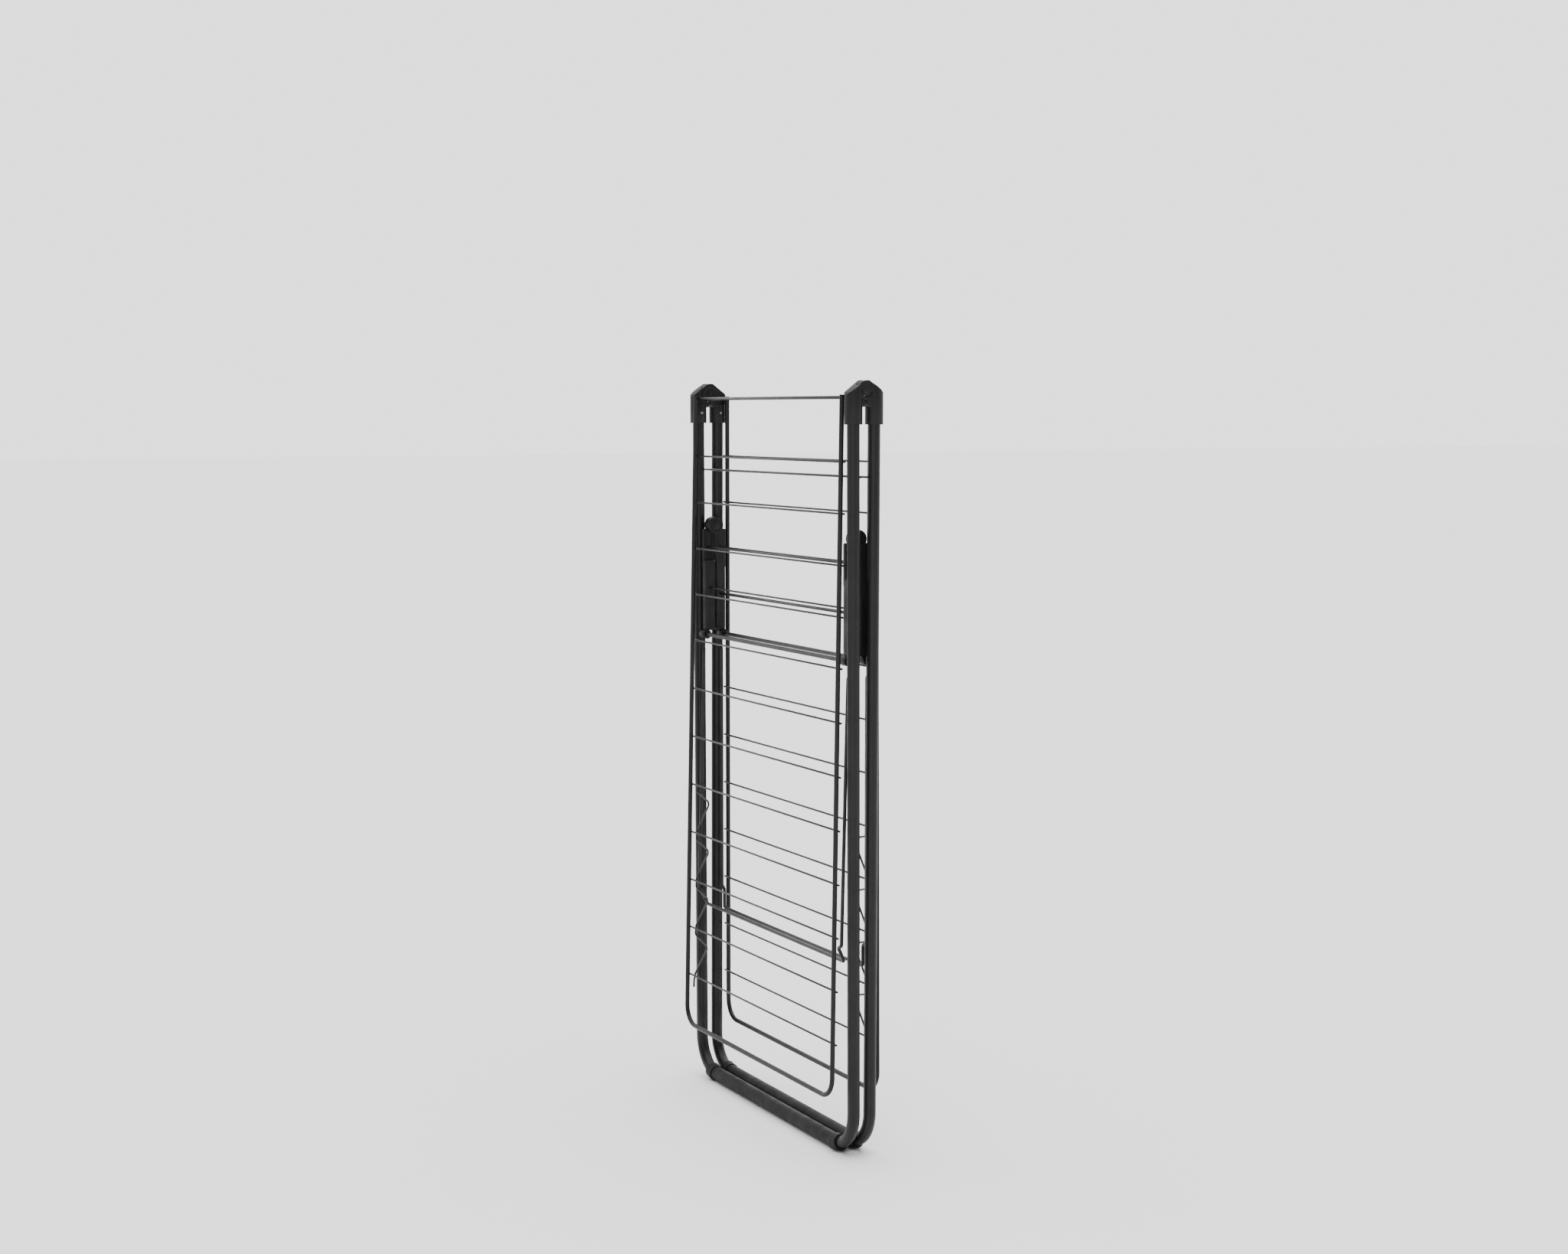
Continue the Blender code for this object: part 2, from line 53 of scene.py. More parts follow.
LEG_TOP_Z = 1.2620
LEG_BAR_Z = 1.142
WIRE_R = 0.00175
GAP = 0.0003
SLEEVE_R = 0.0125
COLLAR_R = 0.0144
COLLAR_LENGTH = 0.021
PIN_Z = 1.2835
CAP_TOP_Z = 1.3000
CAP_HALF_X = 0.0110
CAP_FLAT_Z = 1.2620
CAP_REACH_Y = 0.0348
SOCKET_R = 0.0150
SOCKET_BOTTOM_Z = 1.2280
EAR_R = 0.0162
EAR_CLEARANCE_R = 0.0175
CAP_SCREW_Z = 1.2470
BLOCK_REACH = 0.0200
RAIL_R = 0.0041
RAIL_INSET = 0.0160
RAIL_SPREAD = 0.0055
RAIL_TOP_Z = 1.2770
RAIL_CORNER_R = 0.035
RAIL_BOTTOM_Z = 0.1048
RAIL_Y_TOP = 0.0320
RAIL_LEAN = {-1: 0.01682, 1: 0.0030}
HINGE_Z = 1.2724
HINGE_BAR_R = 0.00265
HINGE_PLUG = 0.0070
WELD_HALF_LENGTH = 0.0024
WELD_HALF_HEIGHT = 0.0009
BAR_COUNT = 12
BAR_TOP_Z = 1.1670
BAR_PITCH_HIGH = 0.0852
BAR_PITCH_LOW = 0.0901
BAR_OVERHANG = 0.0030
HIGH_GAPS = 4
ZIGZAG_FIRST_BAR = 8
ZIGZAG_TEETH = 4
ZIGZAG_BEND_R = 0.0055
ZIGZAG_ROOT_X = 0.2740
ZIGZAG_APEX_X = 0.2200
ARM_X0 = LEG_X - 0.0330
ARM_X1 = LEG_X - 0.0150
ARM_Y0 = 0.0010
ARM_Y1 = 0.0205
ARM_BOTTOM_Z = 0.8450
ARM_TOP_Z = 1.0330
ARM_LAP_Z = 0.9750
KNUCKLE_Z = 1.0400
KNUCKLE_R = 0.0150
PIVOT_Z = 0.8380
KNOB_R = 0.0084
AXLE_R = 0.00375
ARM_ROD_Y = 0.0110
ARM_LAP_DEPTH = 0.0140
ARM_ROD_TOP_Z = 0.9990
ARM_ROD_LOW_Z = {-1: 0.9240, 1: 0.9120}
STAY_R = 0.0030
STAY_PIVOT_Z = 0.8120
STAY_X = LEG_X - 0.0186
STAY_JOG_Z = 0.3610
STAY_JOG_Y = {-1: 0.0290, 1: 0.0179}
STAY_LOW_X = LEG_X - 0.0290
STAY_BAR_Y = 0.0180
STAY_BEND_R = 0.0050
STAY_BAR_Z = {-1: 0.3310, 1: 0.3200}
SENSOR_WIDTH = 36.0
LENS = 54.4921875
CAMERA_PLACE = (3.692, -1.906 + MID_Y, 1.250)
CAMERA_HEADING = 27.38
CAMERA_DROP = 5.20
BRIGHT_SIDE = (-0.888, 0.460, 0.0)
FLOOR_HALF = 60.0


# Materials

def link(tree, source, output, target, socket):
    tree.links.new(source.outputs[output], target.inputs[socket])


def noise(tree, scale, detail=2.0, roughness=0.5):
    place = tree.nodes.new("ShaderNodeTexCoord")
    node = tree.nodes.new("ShaderNodeTexNoise")
    node.inputs["Scale"].default_value = scale
    node.inputs["Detail"].default_value = detail
    node.inputs["Roughness"].default_value = roughness
    link(tree, place, "Object", node, "Vector")
    return node


def spread(tree, source, low, high):
    """Map a noise value onto a range."""
    node = tree.nodes.new("ShaderNodeMapRange")
    node.inputs["From Min"].default_value = 0.30
    node.inputs["From Max"].default_value = 0.70
    node.inputs["To Min"].default_value = low
    node.inputs["To Max"].default_value = high
    link(tree, source, 0, node, "Value")
    return node


def finish_material(name, dark, light, rough, texture_scale, bump, metallic=0.0,
                    patch_scale=9.0, specular=0.5):
    """A surface with drifting tone, uneven gloss and a fine relief."""
    material = bpy.data.materials.new(name)
    material.use_nodes = True
    tree = material.node_tree
    shader = tree.nodes["Principled BSDF"]
    shader.inputs["Metallic"].default_value = metallic
    shader.inputs["Specular IOR Level"].default_value = specular
    ramp = tree.nodes.new("ShaderNodeValToRGB")
    ramp.color_ramp.elements[0].position = 0.35
    ramp.color_ramp.elements[0].color = (*dark, 1.0)
    ramp.color_ramp.elements[1].position = 0.68
    ramp.color_ramp.elements[1].color = (*light, 1.0)
    link(tree, noise(tree, patch_scale, 4.0), 0, ramp, "Fac")
    link(tree, ramp, 0, shader, "Base Color")
    gloss = spread(tree, noise(tree, patch_scale * 5, 3.0), rough[0], rough[1])
    link(tree, gloss, 0, shader, "Roughness")
    relief = tree.nodes.new("ShaderNodeBump")
    relief.inputs["Strength"].default_value = bump
    relief.inputs["Distance"].default_value = 0.0002
    link(tree, noise(tree, texture_scale, 3.0, 0.6), 0, relief, "Height")
    link(tree, relief, 0, shader, "Normal")
    return material


TUBE = finish_material("satin_black_powder_coat", (0.0060, 0.0060, 0.0062),
                       (0.0085, 0.0085, 0.0088), (0.34, 0.46), 900.0, 0.16, specular=0.26)
WIRE = finish_material("semi_gloss_black_wire", (0.0080, 0.0080, 0.0082),
                       (0.0120, 0.0120, 0.0122), (0.32, 0.44), 1400.0, 0.14, specular=0.34)
PLASTIC = finish_material("textured_black_plastic", (0.0055, 0.0055, 0.0057),
                          (0.0080, 0.0080, 0.0083), (0.46, 0.60), 2600.0, 0.30, specular=0.24)
FOOT = finish_material("matt_black_foot_plastic", (0.0040, 0.0040, 0.0042),
                       (0.0062, 0.0062, 0.0064), (0.50, 0.66), 1800.0, 0.28, specular=0.20)
ZINC = finish_material("bright_zinc_plate", (0.20, 0.20, 0.205), (0.30, 0.30, 0.305),
                       (0.20, 0.36), 2200.0, 0.10, metallic=1.0, patch_scale=120.0)

LOOKS = {"tube": (TUBE, "black_tube"), "wire": (WIRE, "black_wire"),
         "plastic": (PLASTIC, "black_plastic"), "foot": (FOOT, "foot_plastic"),
         "zinc": (ZINC, "zinc_screw")}


# Places

def leg_y(side, z):
    return side * (LEG_STANCE + LEG_LEAN * z)


def rail_x(z):
    return LEG_X - RAIL_INSET + RAIL_SPREAD * (HINGE_Z - z)


def rail_y(side, z):
    return side * (RAIL_Y_TOP + RAIL_LEAN[side] * (HINGE_Z - z))


def bar_y(side, z):
    return rail_y(side, z) - side * (RAIL_R + WIRE_R + GAP)


def bar_z(index):
    gaps = index - 1
    high = min(gaps, HIGH_GAPS)
    return BAR_TOP_Z - high * BAR_PITCH_HIGH - (gaps - high) * BAR_PITCH_LOW


def hinge_y(side):
    return rail_y(side, HINGE_Z) - side * (RAIL_R + HINGE_BAR_R + GAP)


def arm_half(side, end):
    middle = (ARM_X0 + ARM_X1) / 2
    if side == end:
        low, high = middle + GAP / 2, ARM_X1
    else:
        low, high = ARM_X0, middle - GAP / 2
    return low, high


# Geometry

def rounded_path(corners, radius, steps):
    points = [Vector(corners[0])]
    for before, corner, after in zip(corners, corners[1:], corners[2:]):
        corner = Vector(corner)
        back = (Vector(before) - corner).normalized()
        ahead = (Vector(after) - corner).normalized()
        half = back.angle(ahead) / 2
        reach = radius / math.tan(half)
        centre = corner + (back + ahead).normalized() * (radius / math.sin(half))
        start = corner + back * reach - centre
        finish = corner + ahead * reach - centre
        angle = start.angle(finish)
        for step in range(steps + 1):
            part = step / steps
            first = math.sin((1 - part) * angle) / math.sin(angle)
            second = math.sin(part * angle) / math.sin(angle)
            points.append(centre + start * first + finish * second)
    points.append(Vector(corners[-1]))
    return points


def add_tube(work, points, radius, sides, ends="dome", radii=None):
    """Sweep a circle along a path; its ends are domed, flat or open-mouthed."""
    points = [Vector(point) for point in points]
    radii = radii or [radius] * len(points)
    tangents = []
    for index in range(len(points)):
        before = points[max(index - 1, 0)]
        after = points[min(index + 1, len(points) - 1)]
        tangents.append((after - before).normalized())
    normal = tangents[0].orthogonal().normalized()
    stations = []
    for index, tangent in enumerate(tangents):
        if index:
            normal = tangents[index - 1].rotation_difference(tangent) @ normal
        side = tangent.cross(normal).normalized()
        stations.append((points[index], tangent, normal.copy(), side, radii[index]))

    def end_stations(station, direction):
        point, tangent, across, side, size = station
        inward = -tangent * direction
        if ends == "dome":
            steps = ((0.00, 0.62), (0.10, 0.86), (0.34, 1.0))
        elif ends == "open":
            steps = ((1.9, 0.80), (0.0, 0.80), (-0.01, 0.92), (0.03, 1.0))
        else:
            steps = ((0.0, 0.94), (0.06, 1.0))
        return [(point + inward * size * depth, tangent, across, side, size * scale)
                for depth, scale in steps]

    full = end_stations(stations[0], -1) + stations[1:-1] + end_stations(stations[-1], 1)[::-1]
    rings = []
    for point, tangent, across, side, size in full:
        ring = []
        for step in range(sides):
            angle = 2 * math.pi * step / sides
            ring.append(work.verts.new(
                point + (across * math.cos(angle) + side * math.sin(angle)) * size))
        rings.append(ring)
    for first, second in zip(rings, rings[1:]):
        for step in range(sides):
            after = (step + 1) % sides
            work.faces.new((first[step], first[after], second[after], second[step]))
    work.faces.new(list(reversed(rings[0])))
    work.faces.new(rings[-1])


def add_turned(work, profile, place, segments):
    """Turn a (radius, height) profile about the local Z axis of a placement."""
    rings = []
    for radius, height in profile:
        ring = []
        for step in range(segments):
            angle = 2 * math.pi * step / segments
            ring.append(work.verts.new(place @ Vector(
                (radius * math.cos(angle), radius * math.sin(angle), height))))
        rings.append(ring)
    for first, second in zip(rings, rings[1:]):
        for step in range(segments):
            after = (step + 1) % segments
            work.faces.new((first[step], first[after], second[after], second[step]))
    work.faces.new(list(reversed(rings[0])))
    work.faces.new(rings[-1])


def along_x(x, y, z, direction):
    """Placement whose local Z points along world X, either way."""
    turn = Quaternion((0.0, 1.0, 0.0), math.radians(90 * direction)).to_matrix().to_4x4()
    return Matrix.Translation((x, y, z)) @ turn


def make_object(name, work, shift=True):
    bmesh.ops.recalc_face_normals(work, faces=work.faces)
    if shift:
        bmesh.ops.translate(work, verts=work.verts, vec=(0.0, MID_Y, 0.0))
    mesh = bpy.data.meshes.new(name)
    work.to_mesh(mesh)
    work.free()
    item = bpy.data.objects.new(name, mesh)
    bpy.context.scene.collection.objects.link(item)
    return item


def place_piece(item, body, look, *nodes, sharp=32):
    """Give a piece its finish and its body, and the nodes it stands for."""
    material, slot = LOOKS[look]
    item.data.materials.clear()
    item.data.materials.append(material)
    item.data.shade_smooth()
    item.data.set_sharp_from_angle(angle=math.radians(sharp))
    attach(item, body)
    if nodes:
        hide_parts(*nodes)
    return item


def solid_cylinder(start, finish, radius, segments):
    start = Vector(start)
    finish = Vector(finish)
    turn = (finish - start).to_track_quat("Z", "Y").to_matrix().to_4x4()
    work = bmesh.new()
    bmesh.ops.create_cone(
        work, cap_ends=True, segments=segments, radius1=radius, radius2=radius,
        depth=(finish - start).length, matrix=Matrix.Translation((start + finish) / 2) @ turn)
    return make_object("tool", work)


def solid_plate(outline, x_low, x_high, rounding=0.0, segments=4):
    work = bmesh.new()
    face = work.faces.new([work.verts.new((x_low, y, z)) for y, z in outline])
    made = bmesh.ops.extrude_face_region(work, geom=[face])
    moved = [item for item in made["geom"] if isinstance(item, bmesh.types.BMVert)]
    bmesh.ops.translate(work, verts=moved, vec=(x_high - x_low, 0.0, 0.0))
    bmesh.ops.recalc_face_normals(work, faces=work.faces)
    if rounding:
        edges = [edge for edge in work.edges if edge.calc_face_angle(0.0) > 0.8]
        bmesh.ops.bevel(work, geom=edges, offset=rounding, segments=segments, profile=0.5,
                        affect="EDGES", clamp_overlap=True)
    return make_object("tool", work)


def ring_tool(x, y, z, direction, inner, outer, depth):
    """A ring-shaped groove cutter that stands in a face at x."""
    work = bmesh.new()
    middle = (inner + outer) / 2
    circle = []
    for step in range(48):
        angle = 2 * math.pi * step / 48
        circle.append((x, y + middle * math.cos(angle), z + middle * math.sin(angle)))
    half = (outer - inner) / 2
    rings = []
    for px, py, pz in circle:
        out = Vector((0.0, py - y, pz - z)).normalized()
        centre = Vector((px, py, pz))
        axis = Vector((direction, 0.0, 0.0))
        rings.append([work.verts.new(centre + out * a * half + axis * b)
                      for a, b in ((-1, -depth), (1, -depth), (1, 0.002), (-1, 0.002))])
    for first, second in zip(rings, rings[1:] + rings[:1]):
        for step in range(4):
            after = (step + 1) % 4
            work.faces.new((first[step], first[after], second[after], second[step]))
    return make_object("tool", work)


def arc_tool(x, y, z, radius, start, finish, size):
    work = bmesh.new()
    points = []
    for step in range(25):
        angle = math.radians(start + (finish - start) * step / 24)
        points.append((x, y + radius * math.cos(angle), z + radius * math.sin(angle)))
    add_tube(work, points, size, 12)
    return make_object("tool", work)


def combine(item, tools, operation):
    for tool in tools:
        modifier = item.modifiers.new("join", "BOOLEAN")
        modifier.operation = operation
        modifier.solver = "EXACT"
        modifier.object = tool
    return settle(item, tools)


def settle(item, tools=()):
    """Apply an object's modifiers and drop the tools they used."""
    graph = bpy.context.evaluated_depsgraph_get()
    graph.update()
    mesh = bpy.data.meshes.new_from_object(item.evaluated_get(graph))
    item.modifiers.clear()
    item.data = mesh
    for tool in tools:
        bpy.data.objects.remove(tool, do_unlink=True)
    return item


def soften(item, width, segments=2):
    """Moulded edges: bevel whatever meets sharply."""
    weld = item.modifiers.new("weld", "WELD")
    weld.merge_threshold = 0.00004
    bevel = item.modifiers.new("edges", "BEVEL")
    bevel.width = width
    bevel.segments = segments
    bevel.limit_method = "ANGLE"
    bevel.angle_limit = math.radians(38)
    bevel.use_clamp_overlap = True
    bevel.miter_outer = "MITER_ARC"
    return settle(item)


# Leg frames

def make_leg(side, word):
    corners = []
    for end, z in ((-1, LEG_TOP_Z), (-1, LEG_BOTTOM_Z), (1, LEG_BOTTOM_Z), (1, LEG_TOP_Z)):
        corners.append((end * LEG_X, leg_y(side, z), z))
    work = bmesh.new()
    add_tube(work, rounded_path(corners, LEG_BEND_R, 20), LEG_R, 40, ends="open")
    place_piece(make_object(word + "_leg_tube_smooth", work), word + "_leg", "tube",
                word + "_leg_tube")


def make_sleeve(side, word):
    turn = math.asin((COLLAR_LENGTH - 0.001) / LEG_BEND_R)
    half = []
    for step in range(13):
        angle = turn * (1 - step / 12)
        along = turn * LEG_BEND_R * step / 12
        edge = min(along / 0.0022, 1.0)
        size = COLLAR_R - 0.0014 * (1 - math.sqrt(max(0.0, 1 - (1 - edge) ** 2)))
        half.append((LEG_X - LEG_BEND_R + LEG_BEND_R * math.sin(angle),
                     LEG_BOTTOM_Z + LEG_BEND_R * (1 - math.cos(angle)), size))
    straight = LEG_X - LEG_BEND_R
    for step, size in ((0.0003, COLLAR_R), (0.0007, COLLAR_R - 0.0002),
                       (0.0010, COLLAR_R - 0.0007), (0.0012, SLEEVE_R + 0.0004),
                       (0.0016, SLEEVE_R + 0.0001), (0.0022, SLEEVE_R), (0.0100, SLEEVE_R)):
        half.append((straight - step, LEG_BOTTOM_Z, size))
    run = half + [(-x, z, size) for x, z, size in reversed(half)]
    points = [(x, leg_y(side, z), z) for x, z, size in run]
    radii = [size for x, z, size in run]
    work = bmesh.new()
    add_tube(work, points, SLEEVE_R, 48, ends="flat", radii=radii)
    for vert in work.verts:
        vert.co.z = max(vert.co.z, 0.0)
    place_piece(make_object(word + "_foot_sleeve_smooth", work), word + "_leg", "foot",
                word + "_leg_foot_sleeve")


def make_cap(side, end, word, end_word):
    outer_ear = side == end
    ear_sign = end if outer_ear else -end
    leg_x = end * LEG_X
    slope = [(0.0050, CAP_TOP_Z), (0.0296, 1.2815), (0.0318, 1.2796), (0.0334, 1.2776),
             (0.0343, 1.2756), (CAP_REACH_Y, 1.2730)]
    slope = [(side * y, z) for y, z in slope]
    foot = [(side * y, z) for y, z in (
        (BLOCK_REACH, 1.2885), (BLOCK_REACH, 1.2566), (0.0060, 1.2566), (GAP, 1.2620),
        (GAP, CAP_TOP_Z))]
    cap = solid_plate(slope[:1] + foot, leg_x - CAP_HALF_X, leg_x + CAP_HALF_X)
    cap.name = "%s_%s_cap_moulded" % (word, end_word)
    keep = slope + [(side * CAP_REACH_Y, 1.2200), (side * 0.0030, 1.2200),
                    (side * 0.0030, CAP_TOP_Z)]
    keep = solid_plate(keep, leg_x - 0.02, leg_x + 0.02)
    socket = solid_cylinder((leg_x, leg_y(side, SOCKET_BOTTOM_Z), SOCKET_BOTTOM_Z),
                            (leg_x, leg_y(side, CAP_TOP_Z), CAP_TOP_Z), SOCKET_R, 56)
    combine(socket, [keep], "INTERSECT")
    # Flat inboard face, so that the ends of the wing rails swing past.
    flat = [(-0.05, CAP_FLAT_Z), (0.05, CAP_FLAT_Z), (0.05, 1.3100), (-0.05, 1.3100)]
    combine(socket, [solid_plate(flat, leg_x - end * 0.02, leg_x - end * CAP_HALF_X)],
            "DIFFERENCE")
    combine(cap, [socket], "UNION")
    cut_from = leg_x + ear_sign * GAP / 2
    cut_to = leg_x - ear_sign * (CAP_HALF_X + 0.002)
    recess = solid_cylinder((cut_from, 0, PIN_Z), (cut_to, 0, PIN_Z), EAR_CLEARANCE_R, 64)
    combine(cap, [recess], "DIFFERENCE")
    ear = solid_cylinder((cut_from, 0, PIN_Z), (leg_x + ear_sign * CAP_HALF_X, 0, PIN_Z),
                         EAR_R, 64)
    combine(cap, [ear], "UNION")
    inner_x = leg_x - end * CAP_HALF_X
    outer_x = leg_x + end * CAP_HALF_X
    cuts = [solid_cylinder((leg_x, leg_y(side, 1.20), 1.20),
                           (leg_x, leg_y(side, 1.2635), 1.2635), LEG_R + GAP, 40),
            solid_cylinder((inner_x - end * 0.004, hinge_y(side), HINGE_Z),
                           (inner_x + end * 0.0078, hinge_y(side), HINGE_Z),
                           HINGE_BAR_R + GAP, 24)]
    if outer_ear:
        start, finish = (160.0, 350.0) if end > 0 else (20.0, -170.0)
        cuts.append(arc_tool(outer_x + end * 0.0002, 0, PIN_Z, 0.0093, start, finish, 0.0016))
    else:
        cuts.append(ring_tool(inner_x, 0, PIN_Z, -end, 0.0058, 0.0066, 0.0008))
        cuts.append(solid_cylinder((inner_x - end * 0.004, 0, PIN_Z),
                                   (inner_x + end * 0.0100, 0, PIN_Z), 0.0033, 24))
    combine(cap, cuts, "DIFFERENCE")
    soften(cap, 0.0007)
    place_piece(cap, word + "_leg", "plastic", "%s_%s_cap" % (word, end_word), sharp=42)


def make_screw(side, end, word, end_word):
    """Pan head with a cross recess."""
    y = leg_y(side, CAP_SCREW_Z)
    face = end * (LEG_X - SOCKET_R)
    profile = ((0.0015, -0.0040), (0.0015, 0.0), (0.0023, 0.0), (0.0024, 0.0003),
               (0.0023, 0.0007), (0.0018, 0.0010), (0.0012, 0.0012), (0.0005, 0.00125))
    work = bmesh.new()
    add_turned(work, profile, along_x(face, y, CAP_SCREW_Z, -end), 28)
    screw = make_object("%s_%s_cap_screw_head" % (word, end_word), work)
    tools = []
    for angle in (45.0, 135.0):
        blade = bmesh.new()
        turn = Matrix.Rotation(math.radians(angle), 4, "X")
        size = Matrix.Diagonal((0.0022, 0.0030, 0.0006, 1.0))
        place = Matrix.Translation((face - end * 0.0017, y, CAP_SCREW_Z)) @ turn @ size
        bmesh.ops.create_cube(blade, size=1.0, matrix=place)
        tools.append(make_object("tool", blade))
    combine(screw, tools, "DIFFERENCE")
    place_piece(screw, word + "_leg", "zinc", "%s_%s_cap_screw" % (word, end_word))


def make_pins():
    for end_word, end in (("left", -1), ("right", 1)):
        face = end * (LEG_X - CAP_HALF_X - GAP)
        work = bmesh.new()
        profile = ((0.0030, -0.0100), (0.0030, 0.0), (0.0049, 0.0), (0.0050, 0.0003),
                   (0.0049, 0.0008), (0.0044, 0.0011), (0.0032, 0.0012), (0.0030, 0.0009),
                   (0.0010, 0.0009))
        add_turned(work, profile, along_x(face, 0, PIN_Z, -end), 40)
        place_piece(make_object(end_word + "_apex_pin_head", work), "front_leg", "plastic",
                    end_word + "_apex_pin")
        low, high = arm_half(1, end)
        face = high + GAP if end > 0 else -(low - GAP)
        work = bmesh.new()
        profile = ((0.0029, -0.0080), (0.0029, 0.0), (0.0048, 0.0), (0.0050, 0.0003),
                   (0.0048, 0.0009), (0.0040, 0.0012), (0.0010, 0.0012))
        add_turned(work, profile, along_x(face, 0, KNUCKLE_Z, 1), 40)
        place_piece(make_object(end_word + "_knuckle_pin_head", work), "rear_arms", "plastic",
                    end_word + "_knuckle_pin")
        # The small bright rivet in the groove of each outer ear.
        side = end
        body = "rear_leg" if side > 0 else "front_leg"
        work = bmesh.new()
        profile = ((0.0011, -0.0006), (0.0011, 0.0), (0.0010, 0.0004), (0.0006, 0.0007),
                   (0.0002, 0.0008))
        place = along_x(end * (LEG_X + CAP_HALF_X - 0.0014), -end * 0.0040, PIN_Z - 0.0083, end)
        add_turned(work, profile, place, 20)
        place_piece(make_object(end_word + "_ear_rivet", work), body, "zinc")


# Spreader arms

def make_arm(side, end, word, end_word):
    half_low, half_high = arm_half(side, end)
    full = sorted((end * ARM_X0, end * ARM_X1))
    half = sorted((end * half_low, end * half_high))
    low = [(ARM_Y0, ARM_BOTTOM_Z), (ARM_Y1, ARM_BOTTOM_Z), (ARM_Y1, ARM_LAP_Z),
           (ARM_Y0, ARM_LAP_Z)]
    high = [(ARM_Y0, ARM_LAP_Z - ARM_LAP_DEPTH), (ARM_Y1, ARM_LAP_Z - ARM_LAP_DEPTH),
            (ARM_Y1, ARM_TOP_Z), (ARM_Y0, ARM_TOP_Z)]
    arm = solid_plate([(side * y, z) for y, z in low], *full, rounding=0.0042, segments=5)
    arm.name = "%s_%s_arm_moulded" % (word, end_word)
    upper = solid_plate([(side * y, z) for y, z in high], *half, rounding=0.0024, segments=4)
    pivot_y = leg_y(side, PIVOT_Z)
    knob = solid_cylinder((full[0], pivot_y, PIVOT_Z), (full[1], pivot_y, PIVOT_Z), KNOB_R, 48)
    disc = solid_cylinder((half[0], 0, KNUCKLE_Z), (half[1], 0, KNUCKLE_Z), KNUCKLE_R, 56)
    combine(arm, [upper, knob, disc], "UNION")
    inner = end * (ARM_X0 if half_low == ARM_X0 else half_low)
    outer = end * half_high
    cuts = [solid_cylinder((end * 0.25, pivot_y, PIVOT_Z), (end * 0.29, pivot_y, PIVOT_Z),
                           AXLE_R + 0.0002, 32),
            ring_tool(inner, 0, KNUCKLE_Z, -end, 0.0092, 0.0104, 0.0009),
            ring_tool(outer, 0, KNUCKLE_Z, end, 0.0092, 0.0104, 0.0009)]
    # A long shallow panel on the outer face, and the holes for the two rods.
    panel = [(0.0055, 0.8650), (0.0160, 0.8650), (0.0160, 0.9600), (0.0055, 0.9600)]
    face = sorted((end * (ARM_X1 - 0.0006), end * (ARM_X1 + 0.004)))
    cuts.append(solid_plate([(side * y, z) for y, z in panel], *face))
    for z, depth_x in ((ARM_ROD_TOP_Z, half_high - 0.0015),
                       (ARM_ROD_LOW_Z[side], ARM_X0 + 0.009)):
        cuts.append(solid_cylinder((end * 0.25, side * ARM_ROD_Y, z),
                                   (end * depth_x, side * ARM_ROD_Y, z), WIRE_R + 0.0002, 20))
    combine(arm, cuts, "DIFFERENCE")
    soften(arm, 0.0006)
    place_piece(arm, word + "_arms", "plastic", "%s_%s_arm" % (word, end_word), sharp=42)
    work = bmesh.new()
    washer = ((0.0040, 0.0), (0.0056, 0.0), (0.0058, 0.0003), (0.0056, 0.0008),
              (0.0042, 0.0010), (0.0040, 0.0006))
    add_turned(work, washer, along_x(end * (ARM_X1 + 0.0002), pivot_y, PIVOT_Z, end), 32)
    place_piece(make_object("%s_%s_axle_washer" % (word, end_word), work), word + "_arms",
                "zinc")


def make_rod(name, body, node, ends, radius, style="dome"):
    work = bmesh.new()
    add_tube(work, [ends[0], ((Vector(ends[0]) + Vector(ends[1])) / 2), ends[1]], radius, 18,
             ends=style)
    place_piece(make_object(name, work), body, "wire", node)


# Wings and stays

